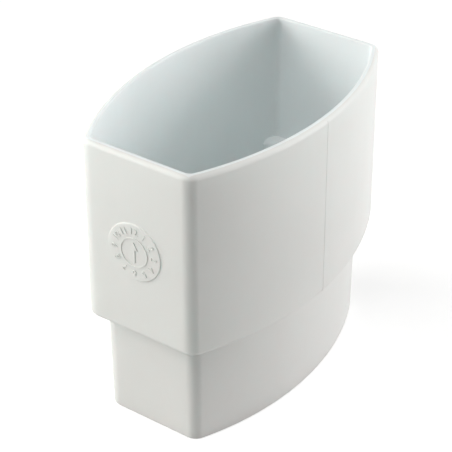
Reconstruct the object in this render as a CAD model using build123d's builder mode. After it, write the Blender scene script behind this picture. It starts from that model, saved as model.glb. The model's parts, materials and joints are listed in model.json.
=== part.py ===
from build123d import *
import math
import os

# Downspout connector, moulded in one piece: the upper pipe drops into the socket,
# and the spigot below slips into the mouth of the lower pipe.
# Origin at the middle of the spigot's open end, X along the section, Z up the pipe run.

# Mouth of the socket: two flat ends, two bowed sides and rounded corners,
# with room for a pipe of 90 x 56 mm
mouth_length = 91.0
mouth_width = 56.2
mouth_end_width = 33.3
mouth_corner = 2.3

# Wall of the moulding, thinnest at the lip, and the step from socket to spigot
wall = 2.2
step = 4.65

# Outer faces lean in by this many degrees, from the shoulder up and from the shoulder down
draft = 0.4

# Heights up the pipe run
spigot_height = 34.4
stop_height = 14.3
socket_depth = 41.8

# Corners of the bore
bore_corner = 2.5

# Corner stops that the upper pipe lands on
stop_radius = 6.8
stop_bevel = 0.8

# Rounded and bevelled edges
lip_outer_round = 1.6
lip_inner_bevel = 0.4
shoulder_round = 1.8
ledge_round = 1.0
ledge_bevel = 0.6
spigot_outer_bevel = 0.6
spigot_inner_bevel = 0.4

# Bare round mark on one flat end, set off the middle of it
mark_diameter = 18.2
mark_relief = 0.3
mark_bevel = 0.2
mark_aside = 0.7
mark_drop = 0.8

# Mould parting line up the middle of each bowed side
seam_width = 0.35
seam_relief = 0.12

# Bow of the mouth's sides: an arc through the two corners and the widest point
sagitta = (mouth_width - mouth_end_width) / 2
bow_radius = (mouth_length**2 / 4 + sagitta**2) / (2 * sagitta)
bow_centre = bow_radius - mouth_width / 2

# Levels
ledge_level = spigot_height + wall
stop_level = ledge_level + stop_height
lip_level = stop_level + socket_depth
outer_height = lip_level - spigot_height

# How far each outline stands outside the mouth's
shoulder_grow = wall + outer_height * math.tan(math.radians(draft))
spigot_grow = shoulder_grow - step
bore_grow = spigot_grow - wall

# The stops are round about the sharp corners of the lip
stop_x = mouth_length / 2 + wall
stop_y = math.sqrt((bow_radius + wall) ** 2 - stop_x**2) - bow_centre


def section(level, grow, corner):
    # The mouth's outline at one level, moved out all round by grow
    with BuildSketch(Plane.XY.offset(level)) as outline:
        Rectangle(mouth_length + 2 * grow, 2 * mouth_width)
        for side in (-1, 1):
            with Locations((0, side * bow_centre)):
                Circle(bow_radius + grow, mode=Mode.INTERSECT)
        fillet(outline.vertices(), corner)
    return outline.sketch


def flat_levels(part):
    # Horizontal faces, grouped by height from the bottom up
    return part.faces().filter_by(Plane.XY).group_by(Axis.Z)


with BuildPart() as connector_body:
    # Socket block, with its lower edge and its lip rounded
    extrude(
        section(spigot_height, shoulder_grow, mouth_corner + shoulder_grow),
        amount=outer_height,
        taper=draft,
    )
    fillet(connector_body.edges().group_by(Axis.Z)[0], shoulder_round)
    fillet(connector_body.edges().group_by(Axis.Z)[-1], lip_outer_round)

    # Round mark, raised on the flat end that faces -X
    flat_end = connector_body.faces().filter_by(GeomType.PLANE).sort_by(Axis.X)[0]
    with BuildSketch(Plane(flat_end, x_dir=(0, -1, 0))):
        with Locations((-mark_aside, -mark_drop)):
            Circle(mark_diameter / 2)
    extrude(amount=mark_relief)
    chamfer(connector_body.faces().sort_by(Axis.X)[0].edges(), mark_bevel)

    # Parting line, standing proud of both bowed sides and following the rounded edges
    seam_foot = mouth_width / 2 + shoulder_grow + seam_relief
    seam_head = mouth_width / 2 + wall + seam_relief
    with BuildSketch(Plane.YZ) as seam_profile:
        with BuildLine():
            Polyline(
                (-seam_foot, spigot_height),
                (seam_foot, spigot_height),
                (seam_head, lip_level),
                (-seam_head, lip_level),
                close=True,
            )
        make_face()
        fillet(seam_profile.vertices().group_by(Axis.Y)[0], shoulder_round)
        fillet(seam_profile.vertices().group_by(Axis.Y)[-1], lip_outer_round)
    extrude(amount=seam_width / 2, both=True)

    # Spigot block
    extrude(
        section(spigot_height, spigot_grow, bore_corner + wall),
        amount=-spigot_height,
        taper=draft,
    )

    # Socket and bore, which leave the ledge between them
    extrude(
        section(ledge_level, 0, mouth_corner),
        amount=lip_level - ledge_level,
        mode=Mode.SUBTRACT,
    )
    extrude(section(0, bore_grow, bore_corner), amount=ledge_level, mode=Mode.SUBTRACT)
    ledge = flat_levels(connector_body)[2].face()
    fillet(ledge.outer_wire().edges(), ledge_round)
    ledge = flat_levels(connector_body)[2].face()
    chamfer(ledge.inner_wires().edges(), ledge_bevel)

    # Inner edge of the lip, and both edges of the spigot's open end
    lip = flat_levels(connector_body)[-1].face()
    chamfer(lip.inner_wires().edges(), lip_inner_bevel)
    spigot_end = flat_levels(connector_body)[0].face()
    chamfer(spigot_end.outer_wire().edges(), spigot_outer_bevel)
    spigot_end = flat_levels(connector_body)[0].face()
    chamfer(spigot_end.inner_wires().edges(), spigot_inner_bevel)

    # Corner stops, let into the floor and the wall by half their thickness
    stop_base = spigot_height + wall / 2
    with BuildSketch(Plane.XY.offset(stop_base)):
        with GridLocations(2 * stop_x, 2 * stop_y, 2, 2):
            Circle(stop_radius)
        add(section(stop_base, wall / 2, mouth_corner + wall / 2), mode=Mode.INTERSECT)
    extrude(amount=stop_level - stop_base)
    stop_edges = flat_levels(connector_body)[-2].edges().filter_by(GeomType.CIRCLE)
    chamfer(stop_edges.filter_by(lambda edge: math.isclose(edge.radius, stop_radius)), stop_bevel)

connector_body.part.label = "connector_body"
os.makedirs("parts", exist_ok=True)
export_step(connector_body.part, "parts/connector_body.step")
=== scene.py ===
import json
import math

import bpy
from mathutils import Matrix, Vector


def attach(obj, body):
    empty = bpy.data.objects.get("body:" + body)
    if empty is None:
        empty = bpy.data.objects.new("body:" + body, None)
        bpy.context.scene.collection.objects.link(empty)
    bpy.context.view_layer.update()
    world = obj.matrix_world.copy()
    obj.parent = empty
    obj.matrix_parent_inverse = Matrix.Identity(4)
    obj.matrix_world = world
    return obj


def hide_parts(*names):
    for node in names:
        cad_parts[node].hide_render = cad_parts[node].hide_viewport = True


mm = 0.001
weldDistance = 0.001 * mm  # points nearer than this are one point

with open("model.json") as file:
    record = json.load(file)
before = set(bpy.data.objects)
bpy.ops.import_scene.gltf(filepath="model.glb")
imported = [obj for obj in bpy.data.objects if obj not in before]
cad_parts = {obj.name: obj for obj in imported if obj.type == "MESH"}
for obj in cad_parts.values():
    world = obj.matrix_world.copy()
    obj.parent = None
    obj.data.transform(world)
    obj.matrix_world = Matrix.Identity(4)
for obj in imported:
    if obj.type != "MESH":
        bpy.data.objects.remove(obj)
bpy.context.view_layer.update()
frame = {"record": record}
mounts = {mount["name"]: Vector(mount["pos_m"]) for mount in frame["record"]["mounts"]}
lipLevel = mounts["socket"].z
shoulderLevel = mounts["shoulder"].z
print(f"frame loaded, lip at {lipLevel / mm:.1f} mm, shoulder at {shoulderLevel / mm:.1f} mm")


class Wire:
    # one socket of a node tree, so that a sum on sockets is written as a sum

    def __init__(self, board, socket):
        self.board = board
        self.socket = socket

    def other(self, name):  # another output of the same node
        return Wire(self.board, self.socket.node.outputs[name])

    def __add__(self, value):
        return self.board.math("ADD", self, value)

    def __sub__(self, value):
        return self.board.math("SUBTRACT", self, value)

    def __rsub__(self, value):
        return self.board.math("SUBTRACT", value, self)

    def __mul__(self, value):
        return self.board.math("MULTIPLY", self, value)

    def __truediv__(self, value):
        return self.board.math("DIVIDE", self, value)

    def __rtruediv__(self, value):
        return self.board.math("DIVIDE", value, self)

    def __pow__(self, value):
        return self.board.math("POWER", self, value)

    def __mod__(self, value):
        return self.board.math("FLOORED_MODULO", self, value)

    def __gt__(self, value):
        return self.board.math("GREATER_THAN", self, value)

    def __lt__(self, value):
        return self.board.math("LESS_THAN", self, value)

    __radd__ = __add__
    __rmul__ = __mul__


class Board:
    # a node tree that nodes are added to

    def __init__(self, tree):
        self.tree = tree
        self.tree.nodes.clear()

    def add(self, kind, settings=None, sockets=None, output=0):
        node = self.tree.nodes.new(kind)
        for name, value in (settings or {}).items():
            if name == "choices":  # index switch: how many values
                while len(node.index_switch_items) < value:
                    node.index_switch_items.new()
            elif name == "captures":  # capture attribute: each value's name and type
                for label, valueType in value.items():
                    node.capture_items.new(valueType, label)
            else:
                setattr(node, name, value)
        for key, value in (sockets or {}).items():
            for one in value if isinstance(value, list) else [value]:
                if isinstance(one, Wire):
                    self.tree.links.new(one.socket, node.inputs[key])
                else:
                    node.inputs[key].default_value = one
        return Wire(self, node.outputs[output] if node.outputs else None)

    def math(self, operation, *values, clamp=False):
        settings = {"operation": operation, "use_clamp": clamp}
        return self.add("ShaderNodeMath", settings, dict(enumerate(values)))

    def share(self, value):  # held between 0 and 1
        return self.math("ADD", value, 0.0, clamp=True)

    def blend(self, factor, colour, other):
        sockets = {"Factor": factor, "A": colour, "B": other}
        return self.add("ShaderNodeMix", {"data_type": "RGBA"}, sockets, "Result")

    def vector(self, x=0.0, y=0.0, z=0.0):
        return self.add("ShaderNodeCombineXYZ", None, {0: x, 1: y, 2: z})

    def choose(self, index, values, valueType="FLOAT"):
        settings = {"data_type": valueType, "choices": len(values)}
        return self.add("GeometryNodeIndexSwitch", settings, dict(enumerate([index, *values])))

    def inputs(self, values):  # a named group input for each value
        kinds = {
            int: "NodeSocketInt",
            float: "NodeSocketFloat",
            bpy.types.Material: "NodeSocketMaterial",
        }
        for name, value in values.items():
            self.tree.interface.new_socket(name, in_out="INPUT", socket_type=kinds[type(value)])
        entry = self.add("NodeGroupInput")
        return {name: entry.other(name) for name in values}

    def finish(self, geometry, skin):  # plain mesh in one material
        self.tree.interface.new_socket("Geometry", in_out="OUTPUT", socket_type="NodeSocketGeometry")
        geometry = self.add("GeometryNodeRealizeInstances", None, {"Geometry": geometry})
        geometry = self.add("GeometryNodeSetMaterial", None, {"Geometry": geometry, "Material": skin})
        self.add("NodeGroupOutput", None, {0: geometry})

    def block(self, sheet, height):  # a flat sheet raised into a closed block
        top = self.add("GeometryNodeExtrudeMesh", None, {
            "Mesh": sheet, "Offset Scale": height, "Individual": False,
        })
        return self.closed(sheet, top)

    def disc(self, radius, height, edge, steps, edgeSteps=1):
        # a round block whose top edge is bevelled by one edge step, or rounded by more
        sheet = self.add("GeometryNodeMeshCircle", {"fill_type": "NGON"}, {
            "Vertices": steps, "Radius": radius,
        })
        raised = self.add("GeometryNodeExtrudeMesh", None, {
            "Mesh": sheet, "Offset Scale": height - edge, "Individual": False,
        })
        top = raised.other("Top")
        reach = radius
        for step in range(edgeSteps):
            before = step / edgeSteps * math.pi / 2
            after = (step + 1) / edgeSteps * math.pi / 2
            raised = self.add("GeometryNodeExtrudeMesh", None, {
                "Mesh": raised, "Selection": top, "Individual": False,
                "Offset Scale": edge * (math.sin(after) - math.sin(before)),
            })
            top = raised.other("Top")
            nextReach = radius - edge * (1.0 - math.cos(after))
            raised = self.add("GeometryNodeScaleElements", None, {
                "Geometry": raised, "Selection": top, "Scale": nextReach / reach,
            })
            reach = nextReach
        return self.closed(sheet, raised)

    def closed(self, sheet, raised):  # the raised sheet with its underside put back
        under = self.add("GeometryNodeFlipFaces", None, {"Mesh": sheet})
        whole = self.add("GeometryNodeJoinGeometry", None, {"Geometry": [raised, under]})
        return self.add("GeometryNodeMergeByDistance", None, {
            "Geometry": whole, "Distance": weldDistance,
        })


def newBoard(name):
    return Board(bpy.data.node_groups.new(name, "GeometryNodeTree"))


def growPiece(name, board, values, weighNormals=False):
    # runs the tree and keeps what it makes as a plain mesh
    piece = bpy.data.objects.new(name, bpy.data.meshes.new(name))
    bpy.context.scene.collection.objects.link(piece)
    modifier = piece.modifiers.new(name, "NODES")
    modifier.node_group = board.tree
    for item in board.tree.interface.items_tree:
        if item.in_out == "INPUT":
            modifier[item.identifier] = values[item.name]
    if weighNormals:  # flat faces stay flat beside their rounded edges
        piece.modifiers.new("weightedNormals", "WEIGHTED_NORMAL").keep_sharp = True
    grown = piece.evaluated_get(bpy.context.evaluated_depsgraph_get())
    mesh = bpy.data.meshes.new_from_object(grown)
    piece.modifiers.clear()
    piece.data = mesh
    print(name, "has", len(mesh.polygons), "faces")
    return piece


# section of the pipe that the shell follows: two flat ends and two bowed sides
pipeSection = {
    "length": 91.0 * mm,
    "width": 56.2 * mm,
    "endWidth": 33.3 * mm,
    "wall": 2.2 * mm,
    "step": 4.65 * mm,  # from the socket in to the spigot
}
sagitta = (pipeSection["width"] - pipeSection["endWidth"]) / 2
pipeSection["bowRadius"] = (pipeSection["length"] ** 2 / 4 + sagitta**2) / (2 * sagitta)
pipeSection["bowCentre"] = pipeSection["bowRadius"] - pipeSection["width"] / 2

# pale PVC: satin moulded skin, cloudy in tint, with painted light inside: lighter and cooler inside than
# outside;
# with faint drawn streaks and a few specks; scales count how many there are in a metre
pvc = {
    "outerTint": (0.765, 0.772, 0.748, 1.0),
    # painted light: the inside is painted lighter and cooler, standing in for the light that falls inside
    # the socket
    "innerPaintedLightTint": (0.84, 0.893, 0.903, 1.0),
    "cloudTint": (0.66, 0.66, 0.63, 1.0),
    "cloudScale": 38.0,
    "cloudDetail": 3.0,
    "cloudBreakup": 0.55,
    "cloudContrast": 2.0,
    "cloudShare": 0.16,
    "streakScale": 900.0,
    "streakDetail": 2.0,
    "streakBreakup": 0.6,
    "streakStretch": 0.02,  # drawn out up the pipe run
    "streakShare": 0.05,
    "grainScale": 2600.0,
    "grainDetail": 2.0,
    "grainBreakup": 0.5,
    "grainDepth": 0.012 * mm,
    "grainStrength": 0.35,
    "speckTint": (0.42, 0.41, 0.38, 1.0),
    "speckScale": 160.0,
    "speckSize": 0.035,
    "speckRarity": 0.93,
    "roughness": 0.46,
    "roughnessSpread": 0.1,
    "ior": 1.53,
    "specular": 0.32,
    "glow": 0.5,  # light that comes through the wall
    "glowTint": (0.8, 1.0, 1.0),
    "glowDepth": 7.0 * mm,
}


def insideShare(board, place, pipe):
    # where the painted light goes: 1 inside the shell and 0 outside, changing halfway through the wall
    at = board.add("ShaderNodeSeparateXYZ", None, {0: place})
    fromEnd = board.math("ABSOLUTE", at) - pipe["length"] / 2
    bowY = board.math("ABSOLUTE", at.other("Y")) + pipe["bowCentre"]
    fromBow = board.math("SQRT", at**2.0 + bowY**2.0) - pipe["bowRadius"]
    grow = board.math("MAXIMUM", fromEnd, fromBow)
    onSpigot = at.other("Z") < shoulderLevel + pipe["wall"] / 2
    return (grow + onSpigot * pipe["step"] - pipe["wall"] / 2) < 0.0


def addNoise(board, place, settings, kind):
    return board.add("ShaderNodeTexNoise", None, {
        "Vector": place,
        "Scale": settings[kind + "Scale"],
        "Detail": settings[kind + "Detail"],
        "Roughness": settings[kind + "Breakup"],
    })


def makePvc(name, settings, pipe):
    material = bpy.data.materials.new(name)
    material.use_nodes = True
    board = Board(material.node_tree)
    place = board.add("ShaderNodeTexCoord", None, None, "Object")
    drawn = board.add("ShaderNodeMapping", None, {
        "Vector": place, "Scale": (1.0, 1.0, settings["streakStretch"]),
    })
    clouds = addNoise(board, place, settings, "cloud")
    streaks = addNoise(board, drawn, settings, "streak")
    grain = addNoise(board, place, settings, "grain")
    cells = board.add("ShaderNodeTexVoronoi", {"feature": "F1"}, {
        "Vector": place, "Scale": settings["speckScale"],
    })
    chance = board.add("ShaderNodeSeparateColor", None, {0: cells.other("Color")})  # each cell's own
    speck = (cells < settings["speckSize"]) * (chance > settings["speckRarity"])
    cloudy = board.share((clouds - 0.5) * settings["cloudContrast"] + 0.5) * settings["cloudShare"]
    cloudy = cloudy + (streaks - 0.5) * settings["streakShare"]

    # painted light: the inside of the shell is painted in the lighter, cooler tint
    tint = board.blend(insideShare(board, place, pipe), settings["outerTint"], settings["innerPaintedLightTint"])
    tint = board.blend(board.share(cloudy), tint, settings["cloudTint"])
    tint = board.blend(speck, tint, settings["speckTint"])
    bump = board.add("ShaderNodeBump", None, {
        "Strength": settings["grainStrength"],
        "Distance": settings["grainDepth"],
        "Height": grain + streaks,
    })
    skin = board.add("ShaderNodeBsdfPrincipled", None, {
        "Base Color": tint,
        "Roughness": settings["roughness"] + (streaks + clouds - 1.0) * settings["roughnessSpread"],
        "Normal": bump,
        "IOR": settings["ior"],
        "Specular IOR Level": settings["specular"],
        "Subsurface Weight": settings["glow"],
        "Subsurface Radius": settings["glowTint"],
        "Subsurface Scale": settings["glowDepth"],
    })
    board.add("ShaderNodeOutputMaterial", None, {"Surface": skin})
    return material


palePvc = makePvc("palePvc", pvc, pipeSection)
thinPvc = makePvc("thinPvc", {**pvc, "glow": 0.0}, pipeSection)  # for relief too thin to glow
print("palePvc has", len(palePvc.node_tree.nodes), "nodes")

# connector shell: one wall section carried round the pipe's outline
shell = {
    "Mouth Length": pipeSection["length"],
    "Mouth Width": pipeSection["width"],
    "Mouth End Width": pipeSection["endWidth"],
    "Mouth Corner": 2.3 * mm,
    "Bore Corner": 2.5 * mm,
    "Wall": pipeSection["wall"],
    "Step": pipeSection["step"],
    "Draft": math.radians(0.4),
    "Shoulder Level": shoulderLevel,
    "Lip Level": lipLevel,
    "Lip Outer Round": 1.6 * mm,
    "Lip Inner Round": 0.45 * mm,
    "Shoulder Round": 1.8 * mm,
    "Ledge Round": 1.0 * mm,
    "Ledge Bevel": 0.6 * mm,
    "Spigot Outer Round": 0.7 * mm,
    "Spigot Inner Bevel": 0.4 * mm,
    "Seam Width": 0.35 * mm,
    "Seam Relief": 0.12 * mm,
    "Stop Drop": 41.8 * mm,
    "Stop Radius": 6.8 * mm,
    "Stop Round": 2.4 * mm,
    "Mark Radius": 9.1 * mm,
    "Mark Relief": 0.3 * mm,
    "Mark Bevel": 0.2 * mm,
    "Mark Aside": 0.7 * mm,
    "Mark Level": 62.85 * mm,
    "End Steps": 4,
    "Corner Steps": 10,
    "Bow Steps": 26,
    "Seam Steps": 2,  # up the seam's side, then half across its top
    "Round Steps": 8,
    "Disc Steps": 96,
    "Sharp Angle": math.radians(28.0),
    "Skin": palePvc,
}
stopRoundSteps = 6  # in the rounding of a stop's upper edge


def outlinePoint(board, size, bow, index, grow, corner):
    # where point number index stands on the outline that lies grow outside the mouth's
    ends = size["End Steps"]
    corners = size["Corner Steps"]
    bows = size["Bow Steps"]
    seams = size["Seam Steps"]
    quarterSteps = bow["quarterSteps"]
    quarter = board.math("FLOOR", index / quarterSteps)
    along = index - quarter * quarterSteps
    step = along + quarter % 2.0 * (quarterSteps - 2.0 * along)  # every second quarter runs backwards
    onEnd = board.share(step / ends)
    onCorner = board.share((step - ends) / corners)
    onBow = board.share((step - ends - corners) / bows)
    onSeam = board.share((step - ends - corners - bows) / seams)

    radius = bow["radius"] + grow
    reach = size["Mouth Length"] / 2.0 + grow - corner
    rise = board.math("SQRT", (radius - corner) ** 2.0 - reach**2.0)
    turn = board.math("ARCTAN2", rise, reach)
    seamTurn = size["Seam Width"] / 2.0 / radius
    cornerAngle = onCorner * turn
    bowAngle = turn + onBow * (math.pi / 2 - seamTurn - turn) + onSeam * seamTurn

    # the seam stands proud of the outside, and dies away over the rounded edges
    outside = board.share((grow - size["Wall"] + size["Lip Outer Round"]) / size["Lip Outer Round"])
    bowReach = radius + size["Seam Relief"] * outside * board.share(onSeam * seams)
    x = reach + corner * board.math("COSINE", cornerAngle)
    x = x + bowReach * board.math("COSINE", bowAngle) - radius * board.math("COSINE", turn)
    y = onEnd * (rise - bow["centre"]) + corner * board.math("SINE", cornerAngle)
    y = y + bowReach * board.math("SINE", bowAngle) - radius * board.math("SINE", turn)

    # quarters 1 and 2 lie at -X, quarters 2 and 3 at -Y
    backX = (quarter > 0.5) * (quarter < 2.5)
    backY = quarter > 1.5
    return x * (1.0 - 2.0 * backX), y * (1.0 - 2.0 * backY)


def wallSection(board, size, grow, level):
    # corners of the wall's section, from the bore up, over the lip and down the outside:
    # grow, level, rounding, steps in the rounding, and whether the corner is the spigot's
    rounded = size["Round Steps"]
    corners = [
        (grow["bore"], 0.0, size["Spigot Inner Bevel"], 1, 1.0),
        (grow["bore"], level["ledge"], size["Ledge Bevel"], 1, 1.0),
        (0.0, level["ledge"], size["Ledge Round"], rounded, 0.0),
        (0.0, size["Lip Level"], size["Lip Inner Round"], rounded, 0.0),
        (size["Wall"], size["Lip Level"], size["Lip Outer Round"], rounded, 0.0),
        (grow["shoulder"], size["Shoulder Level"], size["Shoulder Round"], rounded, 0.0),
        (grow["spigot"], size["Shoulder Level"], 0.0, 1, 1.0),
        (grow["spigotEnd"], 0.0, size["Spigot Outer Round"], rounded, 1.0),
    ]
    growths, levels, roundings, steps, spigots = zip(*corners)
    index = board.add("GeometryNodeInputIndex")
    points = board.add("GeometryNodePoints", None, {
        "Count": len(corners),
        "Position": board.vector(board.choose(index, growths), board.choose(index, levels)),
    })
    line = board.add("GeometryNodePointsToCurves", None, {"Points": points})
    line = board.add("GeometryNodeSetSplineCyclic", None, {"Geometry": line, "Cyclic": True})
    line = board.add("GeometryNodeCaptureAttribute", {"captures": {"Spigot": "FLOAT"}}, {
        "Geometry": line, "Spigot": board.choose(index, spigots),
    })
    onSpigot = line.other("Spigot")
    line = board.add("GeometryNodeFilletCurve", {"mode": "POLY"}, {
        "Curve": line,
        "Count": board.choose(index, steps, "INT"),
        "Radius": board.choose(index, roundings),
    })
    line = board.add("GeometryNodeCaptureAttribute", {"captures": {"Place": "VECTOR"}}, {
        "Geometry": line, "Place": board.add("GeometryNodeInputPosition"),
    })
    return line, line.other("Place"), onSpigot


def buildShell(settings):
    board = newBoard("connectorShell")
    size = board.inputs(settings)
    index = board.add("GeometryNodeInputIndex")
    lean = board.math("TANGENT", size["Draft"])

    # bow of the mouth's sides: an arc through two corners and the widest point
    sagitta = (size["Mouth Width"] - size["Mouth End Width"]) / 2.0
    bow = {"radius": (size["Mouth Length"] ** 2.0 / 4.0 + sagitta**2.0) / (2.0 * sagitta)}
    bow["centre"] = bow["radius"] - size["Mouth Width"] / 2.0
    bow["quarterSteps"] = size["End Steps"] + size["Corner Steps"] + size["Bow Steps"] + size["Seam Steps"]
    ringSteps = bow["quarterSteps"] * 4.0

    # levels, and how far each face of the wall stands outside the mouth's
    level = {
        "ledge": size["Shoulder Level"] + size["Wall"],
        "stop": size["Lip Level"] - size["Stop Drop"],
        "stopBase": size["Shoulder Level"] + size["Wall"] / 2.0,
    }
    grow = {"shoulder": size["Wall"] + (size["Lip Level"] - size["Shoulder Level"]) * lean}
    grow["spigot"] = grow["shoulder"] - size["Step"]
    grow["spigotEnd"] = grow["spigot"] - size["Shoulder Level"] * lean
    grow["bore"] = grow["spigot"] - size["Wall"]
    grow["core"] = size["Wall"] / 2.0

    # the section goes round a ring, and the outline's rule then places every point
    section, sectionPlace, onSpigot = wallSection(board, size, grow, level)
    ring = board.add("GeometryNodeCurvePrimitiveCircle", None, {"Resolution": ringSteps})
    ring = board.add("GeometryNodeCaptureAttribute", {"captures": {"Number": "FLOAT"}}, {
        "Geometry": ring, "Number": index,
    })
    wall = board.add("GeometryNodeCurveToMesh", None, {"Curve": ring, "Profile Curve": section})
    pointGrow = board.add("ShaderNodeSeparateXYZ", None, {0: sectionPlace})
    corner = pointGrow + size["Mouth Corner"]
    corner = corner + onSpigot * (size["Bore Corner"] - grow["bore"] - size["Mouth Corner"])
    x, y = outlinePoint(board, size, bow, ring.other("Number"), pointGrow, corner)
    wall = board.add("GeometryNodeSetPosition", None, {
        "Geometry": wall, "Position": board.vector(x, y, pointGrow.other("Y")),
    })

    # corner stops: round posts about the lip's sharp corners, cut off halfway into the wall
    stopX = size["Mouth Length"] / 2.0 + size["Wall"]
    stopY = board.math("SQRT", (bow["radius"] + size["Wall"]) ** 2.0 - stopX**2.0) - bow["centre"]
    stopHeight = level["stop"] - level["stopBase"]
    stopRound = size["Stop Round"]
    post = board.disc(size["Stop Radius"], stopHeight, stopRound, size["Disc Steps"], stopRoundSteps)
    posts = board.add("GeometryNodeMeshGrid", None, {
        "Size X": stopX * 2.0, "Size Y": stopY * 2.0, "Vertices X": 2, "Vertices Y": 2,
    })
    posts = board.add("GeometryNodeInstanceOnPoints", None, {"Points": posts, "Instance": post})
    posts = board.add("GeometryNodeRealizeInstances", None, {"Geometry": posts})
    posts = board.add("GeometryNodeTransform", None, {
        "Geometry": posts, "Translation": board.vector(0.0, 0.0, level["stopBase"]),
    })
    core = board.add("GeometryNodeMeshCircle", {"fill_type": "NGON"}, {"Vertices": ringSteps})
    x, y = outlinePoint(board, size, bow, index, grow["core"], grow["core"] + size["Mouth Corner"])
    core = board.add("GeometryNodeSetPosition", None, {
        "Geometry": core, "Position": board.vector(x, y, size["Shoulder Level"]),
    })
    core = board.block(core, size["Lip Level"] - size["Shoulder Level"])
    posts = board.add("GeometryNodeMeshBoolean", {"operation": "INTERSECT", "solver": "MANIFOLD"}, {
        "Mesh 2": [posts, core],
    })

    # bare round mark, let into one flat end and square to its leaning face
    markHeight = size["Mark Relief"] + grow["core"]
    mark = board.disc(size["Mark Radius"], markHeight, size["Mark Bevel"], size["Disc Steps"])
    faceX = size["Mouth Length"] / 2.0 + size["Wall"] + (size["Lip Level"] - size["Mark Level"]) * lean
    mark = board.add("GeometryNodeTransform", None, {
        "Geometry": mark,
        "Translation": board.vector(grow["core"] - faceX, size["Mark Aside"], size["Mark Level"]),
        "Rotation": board.add("FunctionNodeEulerToRotation", None, {
            0: board.vector(0.0, size["Draft"] - math.pi / 2, 0.0),
        }),
    })

    body = board.add("GeometryNodeMeshBoolean", {"operation": "UNION", "solver": "MANIFOLD"}, {
        "Mesh 2": [wall, posts, mark],
    })
    body = board.add("GeometryNodeSetShadeSmooth", {"domain": "FACE"}, {"Geometry": body})
    creased = board.add("GeometryNodeInputMeshEdgeAngle") > size["Sharp Angle"]
    body = board.add("GeometryNodeSetShadeSmooth", {"domain": "EDGE"}, {
        "Geometry": body, "Selection": creased, "Shade Smooth": False,
    })
    board.finish(body, size["Skin"])
    return growPiece("connectorShell", board, settings, weighNormals=True)


connectorShell = buildShell(shell)
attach(connectorShell, "root")
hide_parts("connector_body")

# mould dial: the twelve months round an arrow, raised on the round mark
dial = {
    "Number Size": 2.9 * mm,
    "Number Circle": 6.7 * mm,
    "Ring Radius": 4.7 * mm,
    "Ring Width": 0.35 * mm,
    "Arrow Length": 6.6 * mm,
    "Shaft Width": 0.8 * mm,
    "Head Length": 2.4 * mm,
    "Head Width": 2.6 * mm,
    "Curve Steps": 5,
    "Ring Steps": 72,
    "Relief": 0.2 * mm,
    "Sunk": 0.05 * mm,
    "Skin": thinPvc,
}
months = 12


def buildDial(settings):
    board = newBoard("mouldDial")
    size = board.inputs(settings)
    outlines = []
    for month in range(1, months + 1):
        number = board.add("GeometryNodeStringToCurves", {"align_x": "CENTER", "align_y": "MIDDLE"}, {
            "String": str(month), "Size": size["Number Size"],
        })
        number = board.add("GeometryNodeTransform", None, {
            "Geometry": number, "Translation": board.vector(0.0, size["Number Circle"]),
        })
        outlines.append(board.add("GeometryNodeTransform", None, {
            "Geometry": number, "Rotation": (0.0, 0.0, -month * math.tau / months),
        }))
    for radius in (size["Ring Radius"], size["Ring Radius"] - size["Ring Width"]):
        outlines.append(board.add("GeometryNodeCurvePrimitiveCircle", None, {
            "Resolution": size["Ring Steps"], "Radius": radius,
        }))

    # arrow, from its tip down one side and up the other
    tip = size["Arrow Length"] / 2.0
    neck = tip - size["Head Length"]
    side = [
        (0.0, tip),
        (size["Head Width"] / 2.0, neck),
        (size["Shaft Width"] / 2.0, neck),
        (size["Shaft Width"] / 2.0, 0.0 - tip),
    ]
    across, along = zip(*side, *[(0.0 - x, y) for x, y in side[:0:-1]])
    index = board.add("GeometryNodeInputIndex")
    arrow = board.add("GeometryNodePoints", None, {
        "Count": len(across),
        "Position": board.vector(board.choose(index, across), board.choose(index, along)),
    })
    arrow = board.add("GeometryNodePointsToCurves", None, {"Points": arrow})
    outlines.append(board.add("GeometryNodeSetSplineCyclic", None, {"Geometry": arrow, "Cyclic": True}))

    drawn = board.add("GeometryNodeJoinGeometry", None, {"Geometry": outlines})
    drawn = board.add("GeometryNodeRealizeInstances", None, {"Geometry": drawn})
    drawn = board.add("GeometryNodeSetSplineResolution", None, {
        "Geometry": drawn, "Resolution": size["Curve Steps"],
    })
    sheet = board.add("GeometryNodeFillCurve", None, {"Curve": drawn})
    board.finish(board.block(sheet, size["Relief"] + size["Sunk"]), size["Skin"])
    return growPiece("mouldDial", board, settings)


def markPlace(settings, sunk):
    # from a drawing of the dial to the face of the round mark, which leans with the flat end
    draft = settings["Draft"]
    across = Vector((0.0, -1.0, 0.0))
    up = Vector((math.sin(draft), 0.0, math.cos(draft)))
    out = across.cross(up)
    lean = (settings["Lip Level"] - settings["Mark Level"]) * math.tan(draft)
    foot = Vector((
        -settings["Mouth Length"] / 2 - settings["Wall"] - lean,
        settings["Mark Aside"],
        settings["Mark Level"],
    ))
    foot += out * (settings["Mark Relief"] - sunk)
    return Matrix.Translation(foot) @ Matrix((across, up, out)).transposed().to_4x4()


mouldDial = buildDial(dial)
mouldDial.data.transform(markPlace(shell, dial["Sunk"]))
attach(mouldDial, "root")

# camera where the photo was taken from
photoCamera = {
    "azimuth": -54.9,  # degrees round the object, 0 looks along +Y
    "elevation": 32.93,
    "roll": 0.2,
    "distance": 471.3 * mm,
    "lens": 125.4,
    "shiftX": -0.0258,
}
middle = Vector((0.0, 0.0, lipLevel / 2))


def fromMiddle(azimuth, elevation):
    across = math.cos(math.radians(elevation))
    return Vector((
        math.sin(math.radians(azimuth)) * across,
        -math.cos(math.radians(azimuth)) * across,
        math.sin(math.radians(elevation)),
    ))


def aim(data, settings, roll=0.0):
    # a lamp or a camera that looks at the middle of the object
    back = fromMiddle(settings["azimuth"], settings["elevation"])
    turn = back.to_track_quat("Z", "Y").to_matrix() @ Matrix.Rotation(math.radians(roll), 3, "Z")
    aimed = bpy.data.objects.new(data.name, data)
    aimed.matrix_world = Matrix.Translation(middle + back * settings["distance"]) @ turn.to_4x4()
    bpy.context.scene.collection.objects.link(aimed)
    return aimed


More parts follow.
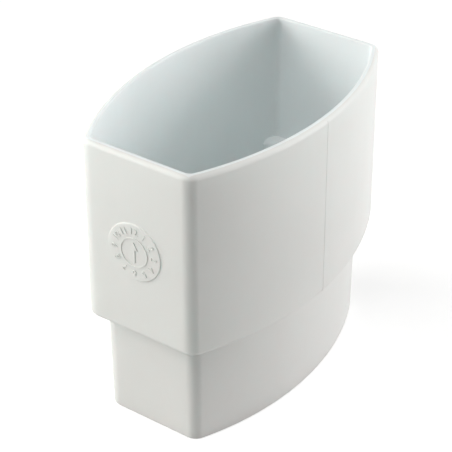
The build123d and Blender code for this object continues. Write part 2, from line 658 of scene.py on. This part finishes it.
def placeCamera(settings):
    data = bpy.data.cameras.new("photoCamera")
    data.lens = settings["lens"]
    data.shift_x = settings["shiftX"]
    bpy.context.scene.camera = aim(data, settings, settings["roll"])


placeCamera(photoCamera)
print("camera placed")

# soft boxes: a low and a high one beside the marked end, and the same beside the bow
lamps = {
    "endLowBox": {
        "azimuth": -142.0, "elevation": 21.0, "distance": 1.0, "width": 0.6, "height": 0.6,
        "power": 9.5, "colour": (1.0, 1.0, 0.97),
    },
    "endHighBox": {
        "azimuth": -100.0, "elevation": 62.0, "distance": 1.0, "width": 0.6, "height": 0.6,
        "power": 3.7, "colour": (1.0, 1.0, 0.98),
    },
    "bowLowBox": {
        "azimuth": 40.0, "elevation": 15.0, "distance": 1.0, "width": 0.6, "height": 0.5,
        "power": 6.9, "colour": (1.0, 0.985, 0.985),
    },
    "bowHighBox": {
        "azimuth": 44.0, "elevation": 44.0, "distance": 1.0, "width": 0.6, "height": 0.6,
        "power": 2.5, "colour": (0.99, 1.0, 1.0),
    },
}


def hangLamps(settings):
    for name, lamp in settings.items():
        data = bpy.data.lights.new(name, "AREA")
        data.shape = "RECTANGLE"
        data.size = lamp["width"]
        data.size_y = lamp["height"]
        data.energy = lamp["power"]
        data.color = lamp["colour"]
        aim(data, lamp)


hangLamps(lamps)
print("lamps hung:", ", ".join(lamps))

# white studio: what the camera sees behind the object is white, and only the lamps light it
studio = {
    "white": (1.0, 1.0, 1.0, 1.0),
    "roomStrength": 0.0,  # light that the room itself adds
    "floorTint": (0.58, 0.58, 0.58, 1.0),
    "floorGlow": 0.61,
    "floorReach": 1.5,
    "floorDrop": 0.05 * mm,  # clear of the spigot's end
    "fadeStart": 0.12,  # from here out, the floor goes over to plain white
    "fadeEnd": 0.4,
}


def seenDirectly(board):
    # 1 for the rays that show the background: the camera's, reflections and clear views
    path = board.add("ShaderNodeLightPath")
    seen = board.math("MAXIMUM", path.other("Is Camera Ray"), path.other("Is Glossy Ray"))
    return board.math("MAXIMUM", seen, path.other("Is Transmission Ray"))


def makeStudio(settings):
    world = bpy.data.worlds.new("whiteRoom")
    world.use_nodes = True
    board = Board(world.node_tree)
    room = board.add("ShaderNodeBackground", None, {
        "Color": settings["white"], "Strength": settings["roomStrength"],
    })
    white = board.add("ShaderNodeBackground", None, {"Color": settings["white"], "Strength": 1.0})
    room = board.add("ShaderNodeMixShader", None, {0: seenDirectly(board), 1: room, 2: white})
    board.add("ShaderNodeOutputWorld", None, {"Surface": room})
    bpy.context.scene.world = world

    material = bpy.data.materials.new("whiteFloor")
    material.use_nodes = True
    board = Board(material.node_tree)
    matt = board.add("ShaderNodeBsdfDiffuse", None, {"Color": settings["floorTint"]})
    glow = board.add("ShaderNodeEmission", None, {"Strength": settings["floorGlow"]})
    lifted = board.add("ShaderNodeAddShader", None, {0: matt, 1: glow})
    place = board.add("ShaderNodeTexCoord", None, None, "Object")
    away = board.add("ShaderNodeVectorMath", {"operation": "LENGTH"}, {0: place}, "Value")
    fade = board.share((away - settings["fadeStart"]) / (settings["fadeEnd"] - settings["fadeStart"]))
    plain = board.add("ShaderNodeEmission", None, {"Color": settings["white"], "Strength": 1.0})
    shown = board.add("ShaderNodeMixShader", None, {0: fade, 1: lifted, 2: plain})
    floorShader = board.add("ShaderNodeMixShader", None, {0: seenDirectly(board), 1: matt, 2: shown})
    board.add("ShaderNodeOutputMaterial", None, {"Surface": floorShader})

    reach = settings["floorReach"]
    level = -settings["floorDrop"]
    corners = [(x * reach, y * reach, level) for x, y in ((-1, -1), (1, -1), (1, 1), (-1, 1))]
    mesh = bpy.data.meshes.new("floor")
    mesh.from_pydata(corners, [], [(0, 1, 2, 3)])
    mesh.materials.append(material)
    floor = bpy.data.objects.new("floor", mesh)
    bpy.context.scene.collection.objects.link(floor)


makeStudio(studio)
bpy.context.scene.view_settings.view_transform = "Standard"
print("studio ready")
